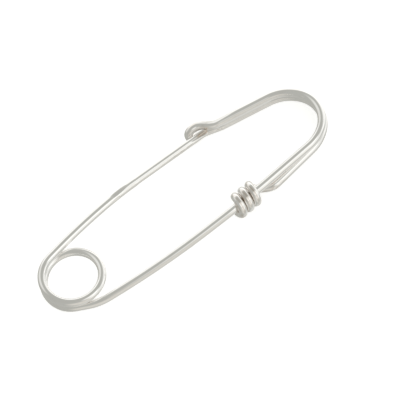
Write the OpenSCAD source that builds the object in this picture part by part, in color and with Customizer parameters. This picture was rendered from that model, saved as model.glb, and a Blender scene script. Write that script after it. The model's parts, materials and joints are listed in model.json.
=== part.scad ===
// Silver safety-pin brooch bent from one length of round wire.
// It lies on its side: the coil is at -x, the head at +x and the pin on the +y side.
// Each wire is a chain of straight rods and round bends that follows corner points.

/* [Wire] */
// diameter of the round wire
wire_d = 1.5; // [1.3:0.05:1.5]
// clear gap between wires that lie on each other
strand_gap = 0.06; // [0.06:0.02:0.2]

/* [Spring coil] */
// radius of the coil, to the middle of the wire
coil_r = 5.22; // [5.1:0.02:5.3]
// rise of the coil in one full turn
coil_pitch = 1.78; // [1.76:0.02:1.9]
// angle where the bar meets the coil
coil_from = 245; // [243:0.5:247]
// angle where the pin leaves the coil
coil_to = 105.5; // [103:0.5:106]

/* [Wrap] */
// advance of the wrap along the bar in one turn
wrap_pitch = 1.58; // [1.58:0.01:1.7]
// number of turns round the bar
wrap_turns = 3; // [2:1:3]

/* [Catch] */
// x of the outermost bend of the catch
catch_x = 30.75; // [30.5:0.05:31]
// y of the upper wire at the catch
catch_top_y = 12.24; // [12.2:0.02:12.4]
// y of the lower wire at the catch
catch_low_y = 11.3; // [11.26:0.02:11.4]

/* [Pin] */
// diameter of the pin beyond its shoulder
pin_d = 1.38; // [1.2:0.02:1.38]
// length of the pin from the shoulder to the tip
pin_len = 18.8; // [17:0.1:18.8]
// length of the tapered point
point_len = 1.5; // [1.2:0.1:3]
// diameter of the blunt end of the point
tip_d = 0.3; // [0.3:0.05:0.6]
// length over which the shoulder narrows to the pin
shoulder_len = 0.9; // [0.6:0.1:1.5]
// length of the slightly narrower stretch that lies in the catch
catch_stretch = 4.3; // [2:0.1:4.5]
// diameter of the pin where the point begins
neck_d = 1.34; // [1.1:0.02:1.34]

/* [Hidden] */
$fn = 48;

silver = [0.84, 0.84, 0.82];

// in a chain, every other piece is this much thinner and reaches into its neighbours
step_d = 0.02;
lap = 0.04;
// shortest straight run that gets a rod of its own
shortest_rod = 0.03;
// gap between the ends of the coil and the bar and pin that go on from it
end_gap = 0.01;

level = wire_d + strand_gap;
turn_sides = 9;
coil_turn = coil_from - coil_to + 360;
coil_step = coil_turn / turn_sides;
coil_rise = coil_pitch * coil_turn / 360;
// share of the rise by which the coil first runs ahead of an even climb and then behind it
climb_swing = 0.06;

// straight runs that carry on from the two ends of the coil
bar_lead = 3.98;
pin_lead = 7.7;
lead_bend = 10;
pin_lead_bend = 130;

// bar from the coil to the head: columns x, y, z, bend radius
bar_corners = [
    [15, -7.02, 0.8, 150],
    [29, -5.84, level, 20],
    [36.2, -4.76, level, 20]
];
// round the head: columns x, y, bend radius
head_corners = [
    [48.4, -2.64, 6.8],
    [51.97, 0.35, 5.9],
    [51.97, 5.46, 5.9],
    [48.48, 9.34, 7.2]
];
// upper wire from the head to the catch: columns x, y, bend radius
upper_corners = [
    [35.5, 10.63, 2],
    [33.1, catch_top_y, 2]
];
// lower wire from the catch back to the head: columns x, y, bend radius
lower_corners = [
    [33.6, catch_low_y, 4],
    [36.6, 10.55, 6]
];
// lower wire where it turns from the head into the wrap: x, y, bend radius
under_corner = [37.7, -5.25, 2.5];

// pin: its shoulder, a point that the shank aims at, and the bend at the shoulder
shoulder = [15.2, 8.88, 2];
shank_aim = [30.75, 10.3, 1.35];
shoulder_bend = 58;

// the wrapped stretch of the bar, run backwards from the head; the wrap is a little
// larger than a close fit and stands off the bar on the far side and on top
wrap_from = xyz(bar_corners[2]);
wrap_to = xyz(bar_corners[1]);
wrap_along = unit(wrap_to - wrap_from);
wrap_side = [wrap_along[1], -wrap_along[0], 0];
wrap_r = level + 0.02;
wrap_play = 0.02;
wrap_first = wrap_from + 1.62 * wrap_along + wrap_play * (wrap_side + [0, 0, 1]);
wrap_count = 4 * wrap_turns;

// the origin lies in the middle of the underside of the whole piece
wrap_near = wrap_first + wrap_along * wrap_pitch * (wrap_count - 1.5) / 4 - wrap_side * wrap_r;
mid_x = (head_corners[1][0] - coil_r) / 2;
mid_y = (catch_top_y + wrap_near[1]) / 2;

function xyz(row) = [row[0], row[1], row[2]];
function at_z(rows, z) = [for (row = rows) [row[0], row[1], z]];
function bends_of(rows) = [for (row = rows) row[len(row) - 1]];
function flip(rows) = [for (i = [len(rows) - 1 : -1 : 0]) rows[i]];
function unit(v) = v / norm(v);
function ring(r, a, z) = [r * cos(a), r * sin(a), z];
// direction of travel on the coil, which runs clockwise from above
function heading(a) = [sin(a), -cos(a), 0];
function turn(a, b, c) = acos(min(1, max(-1, unit(b - a) * unit(c - b))));
// bend radius whose tangents reach as far as t along both sides of a corner
function bend_for(t, a, b, c) = t / tan(turn(a, b, c) / 2);
// how far each bend of the corners p reaches along the sides, for the radii r
function reaches(p, r) = [
    for (i = [0 : len(p) - 1])
        i == 0 || i == len(p) - 1 ? 0 : r[i] * tan(turn(p[i - 1], p[i], p[i + 1]) / 2)
];

// height of the coil at a share of its climb
function climb(share) = coil_rise * (share + climb_swing * sin(360 * share));

// corner points of the coil with its two ends, which both leave it level
coil_points = concat(
    [ring(coil_r, coil_from, 0) + end_gap * heading(coil_from)],
    [
        for (k = [0 : turn_sides - 1])
            ring(
                coil_r / cos(coil_step / 2),
                coil_from - coil_step * (k + 0.5),
                climb(k / (turn_sides - 1))
            )
    ],
    [ring(coil_r, coil_to, coil_rise) - end_gap * heading(coil_to)]
);

// corner of the square helix round the bar, from below on the far side
function wrap_corner(k) =
    wrap_first
    + wrap_along * wrap_pitch * k / 4
    + wrap_side * wrap_r * [1, 1, -1, -1][k % 4]
    + [0, 0, wrap_r * [-1, 1, 1, -1][k % 4]];

module rod(a, b, d) {
    v = b - a;
    translate(a)
        rotate([0, acos(v[2] / norm(v)), atan2(v[1], v[0])])
            cylinder(d = d, h = norm(v));
}

// bend of radius r at the corner b, lengthened at both ends by more
module bend(a, b, c, r, d, more) {
    angle = turn(a, b, c);
    extra = more / r * 180 / PI;
    u = unit(b - a);
    n = unit(cross(u, c - b));
    m = cross(n, u);
    o = b - u * r * tan(angle / 2) + m * r;
    multmatrix([
        [-m[0], u[0], n[0], o[0]],
        [-m[1], u[1], n[1], o[1]],
        [-m[2], u[2], n[2], o[2]],
        [0, 0, 0, 1]
    ])
        rotate([0, 0, -extra])
            rotate_extrude(angle = angle + 2 * extra)
                translate([r, 0])
                    circle(d = d);
}

// wire along the corner points p with the bend radii r
module wire(p, r, d) {
    t = reaches(p, r);
    pieces = [
        for (i = [0 : len(p) - 2])
            each [
                if (norm(p[i + 1] - p[i]) - t[i] - t[i + 1] > shortest_rod)
                    [i, true],
                if (i < len(p) - 2)
                    [i + 1, false]
            ]
    ];
    for (k = [0 : len(pieces) - 1]) {
        i = pieces[k][0];
        straight = pieces[k][1];
        thin = k % 2;
        more = lap * thin;
        if (straight) {
            u = unit(p[i + 1] - p[i]);
            rod(p[i] + u * (t[i] - more), p[i + 1] - u * (t[i + 1] - more), d - step_d * thin);
        } else {
            bend(p[i - 1], p[i], p[i + 1], r[i], d - step_d * thin, more);
        }
    }
}

module placed() {
    translate([-mid_x, -mid_y, wire_d / 2])
        children();
}

// bar, head, catch and wrap in one wire
module bow_wire() {
    bar_start = ring(coil_r, coil_from, 0);
    wrap_p = [for (k = [0 : wrap_count]) wrap_corner(k)];
    wrap_reach = norm(wrap_p[1] - wrap_p[0]) / 2;
    catch_p = [[catch_x, catch_top_y, level], [catch_x, catch_low_y, 0]];
    catch_bend = norm(catch_p[1] - catch_p[0]) / 2;
    p = concat(
        [bar_start, bar_start - bar_lead * heading(coil_from)],
        [for (row = bar_corners) xyz(row)],
        at_z(head_corners, level),
        at_z(upper_corners, level),
        catch_p,
        at_z(lower_corners, 0),
        at_z(flip(head_corners), 0),
        at_z([under_corner], 0),
        [for (k = [0 : wrap_count - 1]) wrap_p[k]],
        [(wrap_p[wrap_count - 1] + wrap_p[wrap_count]) / 2]
    );
    bends = concat(
        [0, lead_bend],
        bends_of(bar_corners),
        bends_of(head_corners),
        bends_of(upper_corners),
        [catch_bend, catch_bend],
        bends_of(lower_corners),
        bends_of(flip(head_corners)),
        bends_of([under_corner])
    );
    first_wrap = len(bends);
    r = [
        for (i = [0 : len(p) - 1])
            i < first_wrap ? bends[i]
            : i < len(p) - 1 ? bend_for(wrap_reach, p[i - 1], p[i], p[i + 1])
            : 0
    ];
    color(silver)
        placed()
            wire(p, r, wire_d);
}

// the open turns that work as the spring
module spring_coil() {
    p = coil_points;
    half = [for (i = [0 : len(p) - 2]) norm(p[i + 1] - p[i]) / (i == 0 || i == len(p) - 2 ? 1 : 2)];
    r = [
        for (i = [0 : len(p) - 1])
            i == 0 || i == len(p) - 1 ? 0
            : bend_for(min(half[i - 1], half[i]), p[i - 1], p[i], p[i + 1])
    ];
    color(silver)
        placed()
            wire(p, r, wire_d);
}

// lower arm, shoulder, thinner shank and tapered point
module pin() {
    start = ring(coil_r, coil_to, coil_rise);
    lead = start + pin_lead * heading(coil_to);
    aim = unit(shank_aim - shoulder);
    out = shoulder_bend * tan(turn(lead, shoulder, shank_aim) / 2);
    neck = shoulder + aim * out;
    len = pin_len - out;
    color(silver)
        placed() {
            wire([start, lead, shoulder, neck], [0, pin_lead_bend, shoulder_bend, 0], wire_d);
            translate(neck)
                rotate([0, acos(aim[2]), atan2(aim[1], aim[0])])
                    rotate_extrude()
                        polygon([
                            [0, -lap],
                            [wire_d / 2 - step_d, -lap],
                            [wire_d / 2 - step_d, 0],
                            [pin_d / 2, shoulder_len],
                            [pin_d / 2, len - point_len - catch_stretch],
                            [neck_d / 2, len - point_len],
                            [tip_d / 2, len - tip_d / 4],
                            [tip_d / 4, len],
                            [0, len]
                        ]);
        }
}

bow_wire();
spring_coil();
pin();
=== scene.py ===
import json

import bpy
import numpy as np
from mathutils import Matrix, Vector


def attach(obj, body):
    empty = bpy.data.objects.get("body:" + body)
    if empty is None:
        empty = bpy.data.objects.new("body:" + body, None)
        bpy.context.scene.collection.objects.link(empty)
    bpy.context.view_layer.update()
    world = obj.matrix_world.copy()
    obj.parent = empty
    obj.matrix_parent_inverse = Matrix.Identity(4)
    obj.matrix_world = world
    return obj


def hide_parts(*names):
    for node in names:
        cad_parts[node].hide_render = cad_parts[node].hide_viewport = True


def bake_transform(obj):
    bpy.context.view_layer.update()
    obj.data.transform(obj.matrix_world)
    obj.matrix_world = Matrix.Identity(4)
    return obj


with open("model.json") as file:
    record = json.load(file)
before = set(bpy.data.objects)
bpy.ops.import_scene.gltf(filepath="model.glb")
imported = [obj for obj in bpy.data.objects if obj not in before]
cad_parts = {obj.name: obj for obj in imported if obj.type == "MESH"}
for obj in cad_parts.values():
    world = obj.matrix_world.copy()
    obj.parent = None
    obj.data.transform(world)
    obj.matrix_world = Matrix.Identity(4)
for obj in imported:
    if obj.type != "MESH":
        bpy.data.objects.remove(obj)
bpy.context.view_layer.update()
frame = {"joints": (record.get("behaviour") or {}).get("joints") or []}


# Bow wire: the long bar, the head's two strands one over the other, the folded catch, and the
# tail, which comes back under the bar and is wrapped three times round it. It is one length of
# round sterling silver wire, bent cold round pegs and with pliers, which leave small flats.

mm = 0.001
wire_radius = 0.75 * mm
hinge = frame["joints"][0]
coil_middle = np.array([hinge["pos_m"][0], hinge["pos_m"][1], wire_radius])
coil_radius = 5.22
coil_pitch = 1.78
bow_leaves_at = 245
pin_leaves_at = 105.5
strand_step = 1.56
wrap_radius = 1.58
wrap_pitch = 1.58
wrap_corners = 12
end_gap = 0.002


def ring_point(angle, height):
    """The point of the coil's round, in mm from its middle, at an angle in degrees."""
    turn = np.radians(angle)
    return np.array([coil_radius * np.cos(turn), coil_radius * np.sin(turn), height])


def ring_heading(angle):
    """The direction in which the wire leaves the coil at an angle in degrees."""
    turn = np.radians(angle)
    return np.array([np.sin(turn), -np.cos(turn), 0])


def unit(vectors):
    """The same vectors with length one."""
    return vectors / np.linalg.norm(vectors, axis=-1, keepdims=True)


def bent_path(corners, bends, steps=24):
    """Straight runs joined by arcs. At a corner that turns by t, an arc of radius b starts and
    ends b * tan(t / 2) from the corner, and its middle lies on the line that halves the corner.
    An arc's points are (sin((1 - k) t) * first + sin(k t) * last) / sin(t) about that middle."""
    corners = np.asarray(corners, float)
    before = unit(corners[:-2] - corners[1:-1])
    after = unit(corners[2:] - corners[1:-1])
    turn = np.pi - np.arccos(np.clip((before * after).sum(1), -1, 1))
    bends = np.asarray(bends, float)
    reach = (bends * np.tan(turn / 2))[:, None]
    first = corners[1:-1] + before * reach
    last = corners[1:-1] + after * reach
    middle = corners[1:-1] + unit(before + after) * (bends / np.cos(turn / 2))[:, None]
    share = np.linspace(0, 1, steps)[None, :, None]
    turn = turn[:, None, None]
    arc = np.sin((1 - share) * turn) * (first - middle)[:, None]
    arc = (arc + np.sin(share * turn) * (last - middle)[:, None]) / np.sin(turn)
    arc = (arc + middle[:, None]).reshape(-1, 3)
    return np.concatenate([corners[:1], arc, corners[-1:]])


def distances(points):
    """How far along a path each of its points is."""
    steps = np.linalg.norm(np.diff(points, axis=0), axis=1)
    return np.concatenate([[0], np.cumsum(steps)])


def at_distances(points, wanted):
    """The points of a path at the wanted distances from its start."""
    along = distances(points)
    return np.stack([np.interp(wanted, along, points[:, axis]) for axis in range(3)], 1)


def eased_path(points, spacing=0.1, ease=0.25):
    """The path at even spacing, with each point the bell-weighted mean of its neighbours, as a
    bend in real wire starts and ends little by little. The two ends stay where they are."""
    length = distances(points)[-1]
    even = at_distances(points, np.linspace(0, length, int(length / spacing) + 1))
    reach = int(3 * ease / spacing)
    offsets = np.arange(-reach, reach + 1) * spacing
    weights = np.exp(-0.5 * (offsets / ease) ** 2)
    weights /= weights.sum()
    start = 2 * even[0] - even[reach:0:-1]
    end = 2 * even[-1] - even[-2 : -reach - 2 : -1]
    wide = np.concatenate([start, even, end])
    return np.stack([np.convolve(wide[:, axis], weights, "valid") for axis in range(3)], 1)


def with_rims(path):
    """The path with one more point just inside each end, so that smooth shading turns the
    corner to the flat end face within a hair's breadth and the next piece joins without a mark."""
    along = distances(path)
    near_ends = [end_gap, along[-1] - end_gap]
    return at_distances(path, np.sort(np.concatenate([along, near_ends])))


def with_flat(radii, facing, depth):
    """Radii with a flat pressed or filed in by a depth for each row. At an angle a from the
    way in which the flat faces, the skin is at most (radius - depth) / cos(a) from the middle."""
    angle = np.arange(radii.shape[1]) * 2 * np.pi / radii.shape[1]
    cosine = np.cos(angle - np.radians(facing)).clip(0.01)
    return np.minimum(radii, (radii - depth[:, None]) / cosine)


def drawn_wire(name, path, radii, upward, worked=0, measured=(0, 1)):
    """Round wire: a circle carried along the path. With across = upward x direction and
    over = direction x across, a point is path + radius * (across * cos(a) + over * sin(a)),
    and the radii are a row for each point of the path, with a column for each angle.
    wire_place keeps each point of the straightened wire: the circle's two numbers and the
    distance along it. measured is the distance at the path's start, and 1 or -1 as it grows
    or falls from there. The ends are closed by a fan of faces round a middle point."""
    count, sides = radii.shape
    direction = unit(np.gradient(path, distances(path), axis=0, edge_order=2))
    across = unit(np.cross(upward, direction))
    over = np.cross(direction, across)
    angle = np.arange(sides) * 2 * np.pi / sides
    circle = across[:, None] * np.cos(angle)[None, :, None]
    circle = circle + over[:, None] * np.sin(angle)[None, :, None]
    skin = path[:, None] + circle * radii[:, :, None]
    points = np.concatenate([skin.reshape(-1, 3), path[:1], path[-1:]])
    rows = np.arange(count - 1)[:, None] * sides
    here = np.arange(sides)[None, :]
    beside = (here + 1) % sides
    walls = np.stack([rows + here, rows + beside, rows + sides + beside, rows + sides + here], -1)
    rim = (count - 1) * sides
    start_fan = np.stack([beside[0], here[0], np.full(sides, count * sides)], -1)
    end_fan = np.stack([rim + here[0], rim + beside[0], np.full(sides, count * sides + 1)], -1)
    mesh = bpy.data.meshes.new(name)
    faces = walls.reshape(-1, 4).tolist() + start_fan.tolist() + end_fan.tolist()
    mesh.from_pydata((points * mm + coil_middle).tolist(), [], faces)
    start, way = measured
    along = start + way * distances(path)
    place = np.empty((count, sides, 3))
    place[:, :, 0] = np.cos(angle) * wire_radius / mm * way
    place[:, :, 1] = np.sin(angle) * wire_radius / mm
    place[:, :, 2] = along[:, None]
    place = np.concatenate([place.reshape(-1, 3), [[0, 0, along[0]], [0, 0, along[-1]]]])
    kept = mesh.attributes.new("wire_place", "FLOAT_VECTOR", "POINT")
    kept.data.foreach_set("vector", place.astype(np.float32).ravel())
    kept = mesh.attributes.new("filed", "FLOAT", "POINT")
    filed = (1 - radii / radii.max(1, keepdims=True)).ravel()
    kept.data.foreach_set("value", np.concatenate([filed, [0, 0]]).astype(np.float32))
    worked = np.repeat(np.zeros(count) + worked, sides)
    kept = mesh.attributes.new("worked", "FLOAT", "POINT")
    kept.data.foreach_set("value", np.concatenate([worked, [0, 0]]).astype(np.float32))
    smooth = np.ones(len(mesh.polygons), bool)
    flat_ends = np.repeat([radii[0, 0], radii[-1, 0]], sides) > 0.5 * wire_radius / mm
    smooth[-2 * sides :] = ~flat_ends
    mesh.polygons.foreach_set("use_smooth", smooth)
    mesh.update()
    wire = bpy.data.objects.new(name, mesh)
    bpy.context.scene.collection.objects.link(wire)
    return wire


class Tone:
    """A value that shader nodes work out. Arithmetic on it adds Math nodes to the same tree."""

    def __init__(self, nodes, socket):
        self.nodes = nodes
        self.socket = socket

    def math(self, operation, *values):
        return self.nodes.add("ShaderNodeMath", {"operation": operation}, values)

    def __add__(self, other):
        return self.math("ADD", self, other)

    def __mul__(self, other):
        return self.math("MULTIPLY", self, other)

    def __sub__(self, other):
        return self.math("SUBTRACT", self, other)

    def __rsub__(self, other):
        return self.math("SUBTRACT", other, self)

    __radd__ = __add__
    __rmul__ = __mul__


class Nodes:
    """The shader nodes of one tree. add() takes a node's type, its settings, and the values or
    links of its sockets by name or place, and gives the wanted output."""

    def __init__(self, tree):
        self.tree = tree

    def join(self, socket, value):
        if isinstance(value, Tone):
            self.tree.links.new(value.socket, socket)
        else:
            socket.default_value = value

    def add(self, kind, settings, sockets, output=0):
        node = self.tree.nodes.new(kind)
        for name, value in settings.items():
            setattr(node, name, value)
        for key, value in sockets.items() if isinstance(sockets, dict) else enumerate(sockets):
            self.join(node.inputs[key], value)
        return Tone(self, node.outputs[output])

    def noise(self, place, stretch, detail):
        """Smooth noise from 0 to 1, with the place stretched by three numbers first."""
        stretched = self.add("ShaderNodeMapping", {}, {"Vector": place, "Scale": stretch})
        sockets = {"Vector": stretched, "Scale": 1, "Detail": detail}
        return self.add("ShaderNodeTexNoise", {}, sockets, "Fac")

    def rise(self, value, start, end, smooth=True):
        """Rises from 0 to 1 as the value goes from start to end."""
        easing = "SMOOTHSTEP" if smooth else "LINEAR"
        settings = {"interpolation_type": easing}
        return self.add("ShaderNodeMapRange", settings, [value, start, end, 0, 1])


bright_silver = (0.97, 0.965, 0.955, 1)
# Colour of real tarnish and of painted shade where wire lies close to wire.
tarnish_and_shade_colour = (0.63, 0.53, 0.44, 1)


def polished_silver(piece, unevenness, marks):
    """Mopped sterling silver. Along the straightened wire run faint lines from the drawing plate;
    the bends are a little uneven; and small marks from pliers and wear dull it here and there. Where
    wire lies close to wire the colour goes warm and dark, partly as real tarnish and partly as
    painted shade. On the pin's point the flat is tinted warm as a painted reflection of the catch's
    inside."""
    silver = bpy.data.materials.new(piece.name)
    silver.use_nodes = True
    nodes = Nodes(silver.node_tree)
    shader = silver.node_tree.nodes["Principled BSDF"]
    place = nodes.add("ShaderNodeAttribute", {"attribute_name": "wire_place"}, {}, "Vector")
    crevice = nodes.add("ShaderNodeAttribute", {"attribute_name": "crevice"}, {}, "Fac")
    worked = nodes.add("ShaderNodeAttribute", {"attribute_name": "worked"}, {}, "Fac")
    filed = nodes.add("ShaderNodeAttribute", {"attribute_name": "filed"}, {}, "Fac")
    lines = nodes.noise(place, (4.5, 4.5, 0.1), 2)
    waves = nodes.noise(place, (0.9, 0.9, 0.35), 1)
    dents = nodes.noise(place, (2.1, 2.1, 1.4), 2)
    nicks = nodes.noise(place, (5, 5, 4), 2)
    blotches = nodes.noise(place, (1.3, 1.3, 0.5), 3)
    scuffs = nodes.rise(nodes.noise(place, (3.5, 3.5, 1.1), 4), 0.62, 0.8) * marks
    # Painted shade and real tarnish: the colour goes dark and warm by the crevice share, where wire
    # lies close to wire.
    tarnish_and_shade = crevice * (0.75 + 0.5 * blotches)
    # Film and facet tone toward the warm colour where the worked share is high. On the pin that
    # share is the point's flat, so there they are a painted reflection of the catch's inside.
    film_and_reflection = nodes.rise(blotches, 0.4, 0.65) * (0.05 + worked * 0.4)
    facet_and_reflection = nodes.rise(filed * worked, 0.03, 0.12) * (0.2 + lines)
    tone = nodes.rise(tarnish_and_shade, 0.02, 1, smooth=False) + film_and_reflection + facet_and_reflection
    colours = {0: tone, 6: bright_silver, 7: tarnish_and_shade_colour}
    colour = nodes.add("ShaderNodeMix", {"data_type": "RGBA"}, colours, 2)
    hammered = (dents * 0.012 + nicks * 0.004) * worked
    height = lines * 0.0022 + waves * unevenness + hammered
    bump = nodes.add(
        "ShaderNodeBump", {}, {"Strength": 1, "Distance": mm, "Height": height}, "Normal"
    )
    nodes.join(shader.inputs["Base Color"], colour)
    dullness = 0.03 + lines * 0.02 + scuffs * 0.12 + tarnish_and_shade * 0.15 + facet_and_reflection * 0.3
    nodes.join(shader.inputs["Roughness"], dullness)
    nodes.join(shader.inputs["Metallic"], 1 - nodes.rise(tarnish_and_shade, 0.1, 0.6))
    nodes.join(shader.inputs["Normal"], bump)
    piece.data.materials.append(silver)


head = np.array(
    [
        # x, y, bend radius
        [48.4, -2.64, 6.8],
        [51.97, 0.35, 5.9],
        [51.97, 5.46, 5.9],
        [48.48, 9.34, 7.2],
    ]
)
catch_top = np.array([30.75, 12.24, strand_step])
catch_low = np.array([30.75, 11.3, 0])
catch_bend = np.linalg.norm(catch_top - catch_low) / 2


def head_strand(strand, height):
    """The corners of one strand of the head, with a height in place of the bend radius."""
    return np.column_stack([strand[:, :2], np.full(len(strand), height)])


bar_start = ring_point(bow_leaves_at, 0)
bar_lead = 3.98
wrap_end = np.array([29, -5.84, strand_step])
wrap_start = np.array([36.2, -4.76, strand_step])
bar_way = unit(wrap_end - wrap_start)
wrap_side = np.array([bar_way[1], -bar_way[0], 0])
upright = np.array([0, 0, 1])
wrap_play = 0.02
wrap_lead = 1.62
first_turn = wrap_start + bar_way * wrap_lead + (wrap_side + upright) * wrap_play
quarter = np.arange(wrap_corners)
wrap = (
    first_turn
    + bar_way * (wrap_pitch * quarter / 4)[:, None]
    + wrap_side * (wrap_radius * np.array([1, 1, -1, -1])[quarter % 4])[:, None]
    + upright * (wrap_radius * np.array([-1, 1, 1, -1])[quarter % 4])[:, None]
)
next_corner = (
    first_turn
    + bar_way * wrap_pitch * wrap_corners / 4
    + wrap_side * wrap_radius
    - upright * wrap_radius
)
wrap_bend = np.linalg.norm(wrap[1] - wrap[0]) / 2
bow_corners = np.concatenate(
    [
        [bar_start, bar_start - ring_heading(bow_leaves_at) * bar_lead],
        [[15, -7.02, 0.8], wrap_end, wrap_start],
        head_strand(head, strand_step),
        [[35.5, 10.63, strand_step], [33.1, 12.24, strand_step], catch_top, catch_low],
        [[33.6, 11.3, 0], [36.6, 10.55, 0]],
        head_strand(head[::-1], 0),
        [[37.7, -5.25, 0]],
        wrap,
        [(wrap[-1] + next_corner) / 2],
    ]
)
bow_bends = np.concatenate(
    [
        [10, 150, 20, 20],
        head[:, 2],
        [2, 2, catch_bend, catch_bend, 4, 6],
        head[::-1, 2],
        [2.5],
        np.full(wrap_corners, wrap_bend),
    ]
)
bow_path = with_rims(eased_path(bent_path(bow_corners, bow_bends), 0.12))
bow_along = distances(bow_path)
wrap_length = distances(bent_path(bow_corners[-wrap_corners - 2 :], bow_bends[-wrap_corners:]))[-1]
into_wrap = np.clip((bow_along - bow_along[-1] + wrap_length + 3) / 4, 0, 1)[:, None]
bow_upward = upright * (1 - into_wrap) + bar_way * into_wrap
off_bar = bow_path - first_turn
off_bar = unit(off_bar - (off_bar @ bar_way)[:, None] * bar_way)
plier_way = unit(upright * 0.9 - wrap_side * 0.45)
on_plier = into_wrap[:, 0] * ((off_bar @ plier_way - 0.5) / 0.5).clip(0)
bow_sides = 72
bow_radii = np.full((len(bow_path), bow_sides), wire_radius / mm)
wrap_flat_depth = 0.06
bow_radii = with_flat(bow_radii, 0, wrap_flat_depth * np.sqrt(on_plier))
catch_flat = np.interp(bow_along, [74.4, 77.6, 79.4, 81.6], [0, 1, 1, 0])
catch_flat_facing = 103
catch_flat_depth = 0.085
bow_radii = with_flat(bow_radii, catch_flat_facing, catch_flat_depth * catch_flat)
bow_worked = into_wrap[:, 0] + np.interp(bow_along, [78, 80, 87, 89], [0, 0.6, 0.6, 0])
bow_wire = drawn_wire("bow_wire_polished", bow_path, bow_radii, bow_upward, bow_worked)
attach(bow_wire, "bow")
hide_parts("bow_wire")


# Spring coil: 1.4 open turns of the same wire, wound round a rod. It joins the bar to the pin, and
# on the real brooch it winds up a little as the pin is pressed in; here it is built at rest.

coil_corners = 9
coil_angle = bow_leaves_at + 360 - pin_leaves_at
coil_rise = coil_pitch * coil_angle / 360
climb_swing = 0.06
level_angle = coil_angle / coil_corners / 2
run_out = 12
fine_angle = np.linspace(-run_out, coil_angle + run_out, 940)
share = ((fine_angle - level_angle) / (coil_angle - 2 * level_angle)).clip(0, 1)
climb = coil_rise * (share + climb_swing * np.sin(2 * np.pi * share))
wound = np.radians(bow_leaves_at - fine_angle)
coil_path = eased_path(
    np.stack([coil_radius * np.cos(wound), coil_radius * np.sin(wound), climb], 1)
)
run_out_length = np.radians(run_out) * coil_radius
coil_ends = [run_out_length, distances(coil_path)[-1] - run_out_length]
coil_path = with_rims(at_distances(coil_path, np.linspace(*coil_ends, 460)))
coil_sides = 48
coil_radii = np.full((len(coil_path), coil_sides), wire_radius / mm)
spring_coil = drawn_wire("spring_coil_polished", coil_path, coil_radii, upright, 0, (0, -1))
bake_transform(spring_coil)
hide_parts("spring_coil")


# Pin: the arm that leaves the top of the coil, bends at its shoulder and runs to the catch.
# From the shoulder the wire is filed thinner, and its end is ground to a blunt point.

pin_length = 18.8
point_length = 1.5
catch_stretch = 4.3
shank_radius = 0.69
catch_radius = 0.67
shoulder_out = 2.96
shoulder_length = 0.9
arm_length = 7.7
arm_bend = 130
shoulder_bend = 58
pin_start = ring_point(pin_leaves_at, coil_rise)
shoulder = np.array([15.2, 8.88, 2])
pin_aim = unit(np.array([30.75, 10.3, 1.35]) - shoulder)
pin_corners = [
    pin_start,
    pin_start + ring_heading(pin_leaves_at) * arm_length,
    shoulder,
    shoulder + pin_aim * pin_length,
]
pin_full = eased_path(bent_path(pin_corners, [arm_bend, shoulder_bend]))
pin_total = distances(pin_full)[-1]
neck_at = pin_total - pin_length + shoulder_out
point_at = pin_total - point_length
to_point = np.sin(np.linspace(0, np.pi / 2, 40)[1:])
pin_along = np.concatenate([[0, end_gap], np.arange(0.1, point_at, 0.1)])
pin_along = np.concatenate([pin_along, point_at + point_length * to_point])
arm_radius = wire_radius / mm
pin_radii = np.interp(
    pin_along,
    [0, neck_at, neck_at + shoulder_length, point_at - catch_stretch, point_at],
    [arm_radius, arm_radius, shank_radius, shank_radius, catch_radius],
)
into_point = np.clip((pin_along - point_at) / point_length, 0, 1)
pin_radii = pin_radii * np.sqrt(1 - (into_point * 0.999) ** 2.4)
pin_path = at_distances(pin_full, pin_along)
pin_sides = 144
pin_radii = np.repeat(pin_radii[:, None], pin_sides, axis=1)
top_flat = np.interp(pin_along, [14.9, 16.2, 18.9], [-1, 0, 1])
top_flat_facing = 87
top_flat_depth = 0.11
pin_radii = with_flat(pin_radii, top_flat_facing, top_flat_depth * (1 - top_flat**2))
shank_flat = np.interp(pin_along, [17, 19], [0, 1])
shank_flat_facing = 119
shank_flat_depth = 0.022
pin_radii = with_flat(pin_radii, shank_flat_facing, shank_flat_depth * shank_flat)
side_flat = np.interp(pin_along, [14.3, 16.3, 16.5], [0, 1, 0])
side_flat_facing = 154
side_flat_depth = 0.05
pin_radii = with_flat(pin_radii, side_flat_facing, side_flat_depth * side_flat)
point_flat_length = 3.6
point_flat = ((pin_along - pin_total + point_flat_length) / point_flat_length).clip(0)
point_flat_facing = 108
point_flat_depth = 0.45 * pin_radii[:, 0]
pin_radii = with_flat(pin_radii, point_flat_facing, point_flat_depth * point_flat)
pin_start_at = -distances(coil_path)[-1]
# The point's flat goes in as the worked share, which tints it warm: a painted reflection of the
# catch's inside.
pin = drawn_wire("pin_polished", pin_path, pin_radii, upright, point_flat, (pin_start_at, -1))
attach(pin, "pin")
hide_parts("pin")


# Crevices: in between the head's two strands, under the wrap and where the coil lies on itself, the
# silver is coloured darker. This is partly real tarnish that the polishing mop doesn't reach and
# partly painted shade. The pin comes out of the catch for cleaning, so it carries no crevice tarnish
# or painted shade of its own.

crevice_reach = 0.08
same_stretch = 2.5
wires = [(bow_wire, bow_path), (spring_coil, coil_path)]
thinned = [path[::3] for wire, path in wires]
other_points = np.concatenate(thinned)
other_wire = np.repeat(np.arange(len(wires)), [len(path) for path in thinned])
other_along = np.concatenate([distances(path)[::3] for wire, path in wires])


def crevice_depth(points, outward, number, along):
    """How near another stretch of wire is to each surface point: e to the power of minus the
    gap over its reach, times the cosine between the outward way and the way to that wire."""
    middle = points.mean(0)
    close = np.linalg.norm(other_points - middle, axis=1) < 4 * wire_radius / mm + crevice_reach
    other = close & ((other_wire != number) | (np.abs(other_along - along) > same_stretch))
    if not other.any():
        return np.zeros(len(points))
    way = other_points[other][None] - points[:, None]
    gap = np.linalg.norm(way, axis=2)
    facing = (way * outward[:, None]).sum(2) / gap
    return (np.exp(-(gap - wire_radius / mm) / crevice_reach) * facing.clip(0)).max(1)


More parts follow.
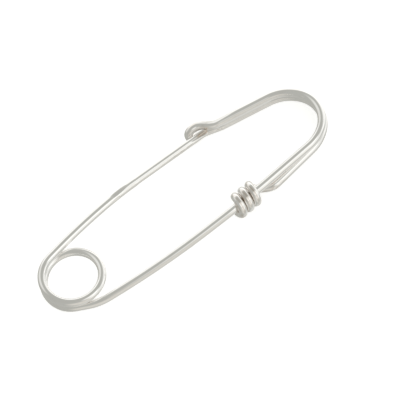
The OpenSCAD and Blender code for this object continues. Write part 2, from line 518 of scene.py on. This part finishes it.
for number, (wire, path) in enumerate(wires):
    corners = np.empty(len(wire.data.vertices) * 3, np.float32)
    wire.data.vertices.foreach_get("co", corners)
    skin = ((corners.reshape(-1, 3)[:-2] - coil_middle) / mm).reshape(len(path), -1, 3)
    outward = unit(skin - path[:, None])
    along = distances(path)
    rows = zip(skin, outward, along)
    depth = [crevice_depth(points, ways, number, here) for points, ways, here in rows]
    depth = np.concatenate(depth + [[0, 0]]).clip(0, 1)
    # The crevice share darkens the colour as painted shade as well as real tarnish.
    kept = wire.data.attributes.new("crevice", "FLOAT", "POINT")
    kept.data.foreach_set("value", depth.astype(np.float32))
polished_silver(bow_wire, 0.006, 1)
polished_silver(spring_coil, 0.006, 0.7)
polished_silver(pin, 0.004, 0.7)


# Studio: a plain white floor, soft light all round, brighter from the head's side, and the camera at
# the photograph's angle. The lamps are given in round numbers.

floor_size = 3
floor_mesh = bpy.data.meshes.new("floor")
half = floor_size / 2
floor_mesh.from_pydata(
    [(-half, -half, 0), (half, -half, 0), (half, half, 0), (-half, half, 0)], [], [(0, 1, 2, 3)]
)
floor = bpy.data.objects.new("floor", floor_mesh)
bpy.context.scene.collection.objects.link(floor)
floor.visible_glossy = False
paper = bpy.data.materials.new("white_paper")
paper.use_nodes = True
paper_shader = paper.node_tree.nodes["Principled BSDF"]
paper_shader.inputs["Base Color"].default_value = (0.9, 0.9, 0.9, 1)
paper_shader.inputs["Roughness"].default_value = 0.9
paper_shader.inputs["Emission Color"].default_value = (1, 1, 1, 1)
paper_shader.inputs["Emission Strength"].default_value = 0.6
floor_mesh.materials.append(paper)

lamps = [
    # azimuth, elevation, full within, gone beyond, strength, warmth
    (75, 15, 10, 35, 0.5, 0),
    (15, 5, 15, 50, 0.5, 0),
    (-45, 15, 15, 40, 0.4, 0),
    (-60, 50, 5, 25, 0.5, 0),
    (120, 35, 15, 35, 0.3, 0),
    (-100, 0, 15, 50, 0.2, 0.1),
    (60, -25, 15, 60, 0.35, 0),
    (-40, -70, 10, 50, 0.25, 0),
]
room_light = (0.46, 0.46, 0.43)
world = bpy.data.worlds.new("soft_room")
bpy.context.scene.world = world
world.use_nodes = True
room = Nodes(world.node_tree)
way = room.add("ShaderNodeTexCoord", {}, {}, "Generated")
light = room_light
for azimuth, elevation, full, gone, strength, warmth in lamps:
    turn, lift = np.radians(azimuth), np.radians(elevation)
    lamp_way = (np.cos(turn) * np.cos(lift), np.sin(turn) * np.cos(lift), np.sin(lift))
    facing = room.add("ShaderNodeVectorMath", {"operation": "DOT_PRODUCT"}, [way, lamp_way], "Value")
    share = room.rise(facing, np.cos(np.radians(gone)), np.cos(np.radians(full)))
    colour = (strength * (1 + warmth), strength, strength * (1 - warmth))
    light = room.add("ShaderNodeVectorMath", {"operation": "MULTIPLY_ADD"}, [share, colour, light])
room.join(world.node_tree.nodes["Background"].inputs["Color"], light)

picture_width = 400
pixel = 0.1724 * mm
camera_rise = np.radians(59)
camera_turn = np.radians(12.3)
camera_roll = np.radians(21.5)
coil_at_pixel = np.array([73.53, 280.52])
level_right = np.array([np.cos(camera_turn), -np.sin(camera_turn), 0])
level_ahead = np.array([np.sin(camera_turn), np.cos(camera_turn), 0])
rising = level_ahead * np.sin(camera_rise) + upright * np.cos(camera_rise)
looking = level_ahead * np.cos(camera_rise) - upright * np.sin(camera_rise)
photo_right = level_right * np.cos(camera_roll) - rising * np.sin(camera_roll)
photo_up = level_right * np.sin(camera_roll) + rising * np.cos(camera_roll)
picture_middle = (picture_width - 1) / 2
aim_point = (
    coil_middle
    + photo_right * (picture_middle - coil_at_pixel[0]) * pixel
    + photo_up * (coil_at_pixel[1] - picture_middle) * pixel
)
camera_data = bpy.data.cameras.new("camera")
camera_data.type = "ORTHO"
camera_data.ortho_scale = picture_width * pixel
camera = bpy.data.objects.new("camera", camera_data)
bpy.context.scene.collection.objects.link(camera)
camera_place = Matrix(np.column_stack([photo_right, photo_up, -looking]).tolist()).to_4x4()
camera_distance = 0.3
camera_place.translation = Vector(aim_point - looking * camera_distance)
camera.matrix_world = camera_place
bpy.context.scene.camera = camera
bpy.context.scene.view_settings.view_transform = "Standard"
